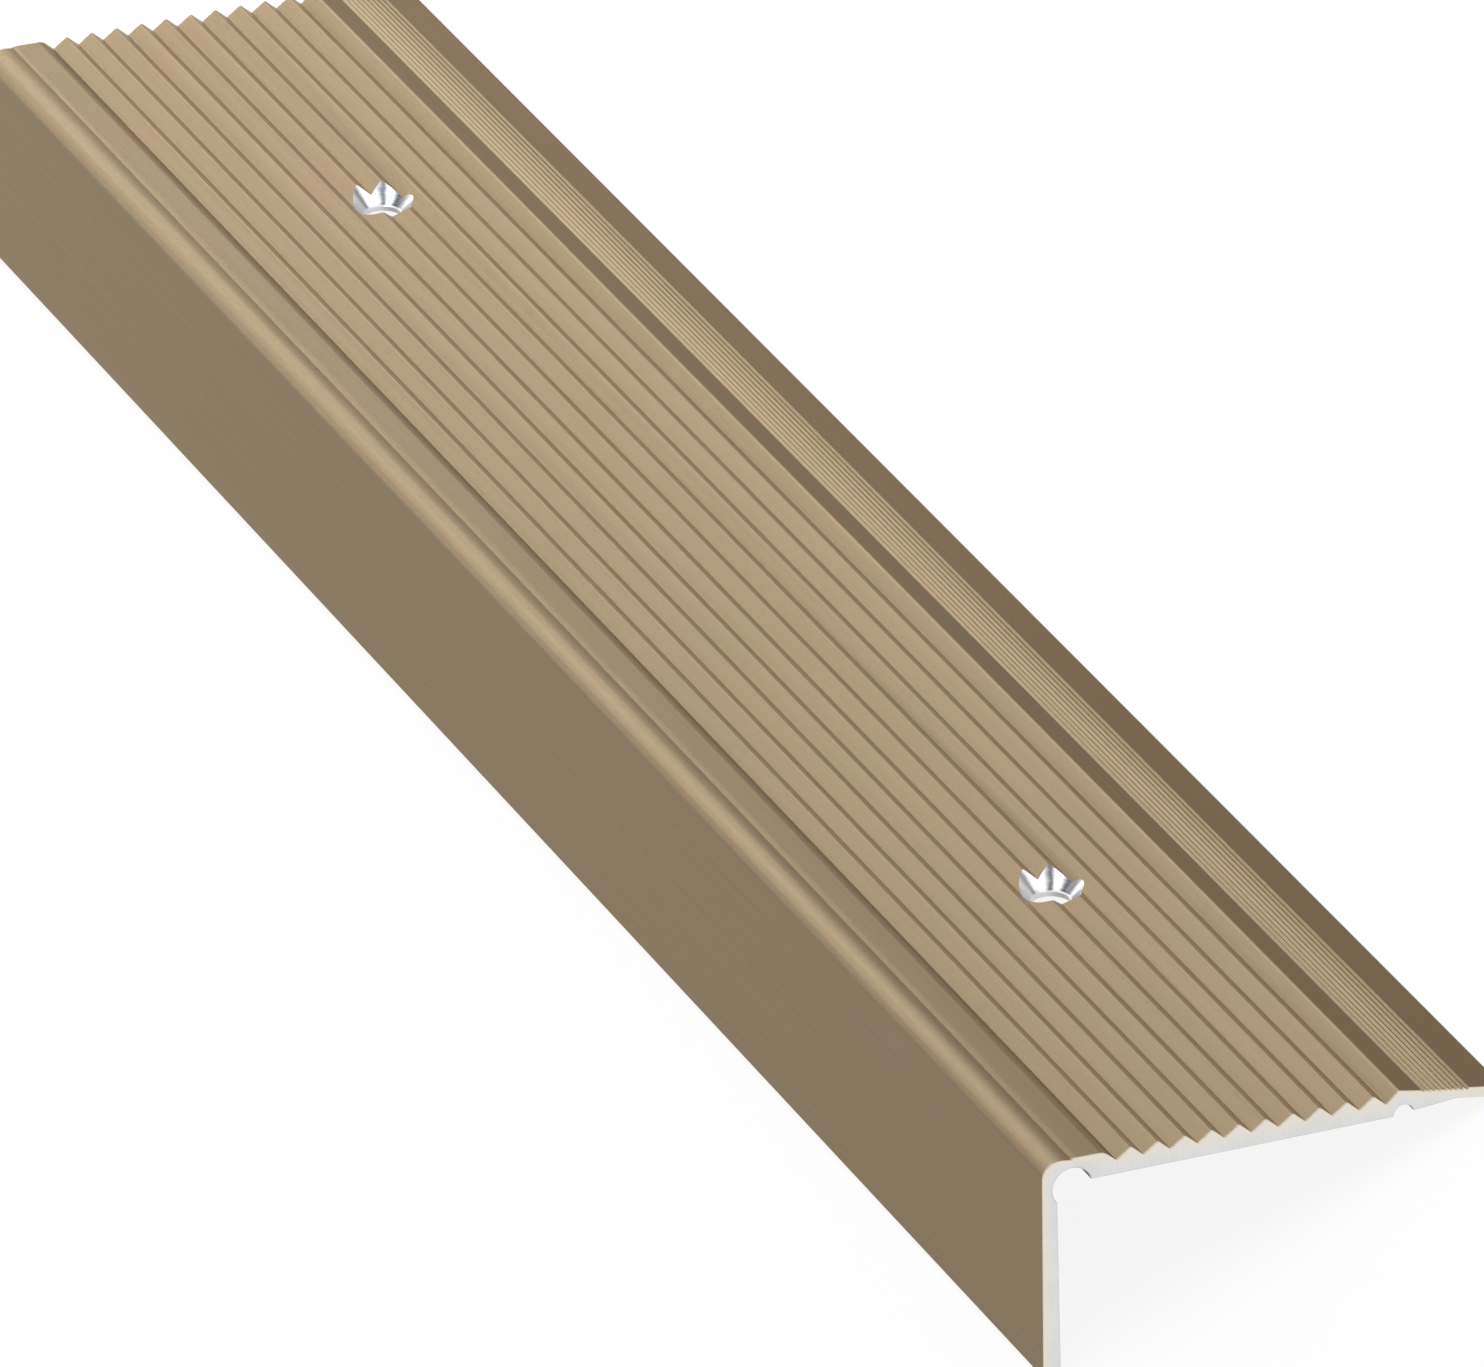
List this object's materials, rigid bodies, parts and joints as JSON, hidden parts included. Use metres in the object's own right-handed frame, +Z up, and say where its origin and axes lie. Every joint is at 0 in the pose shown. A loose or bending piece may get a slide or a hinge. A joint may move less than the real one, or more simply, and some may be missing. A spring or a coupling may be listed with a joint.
{
  "type": "stair nosing",
  "caption": "L-shaped stair nosing cut from an aluminium extrusion, with a ridged tread face, a finely ribbed rear ramp and countersunk screw holes.",
  "frame": {"origin": "centre of the length, midway between the front and back of the piece as it lies, on the floor", "axes": "+X along the length, towards the end nearest the camera in the picture; +Y towards the back of the step; +Z up. The piece lies unheld on the foot of its riser and on its rear lip, so the tread face slopes 23.8 degrees down to the back"},
  "size_m": [0.3, 0.0564, 0.0227],
  "materials": {
    "bronze_anodised": "satin anodised, with bare saw-cut ends and bare countersinks"
  },
  "bodies": {
    "root": {"nosing_profile": "bronze_anodised"}
  },
  "joints": []
}
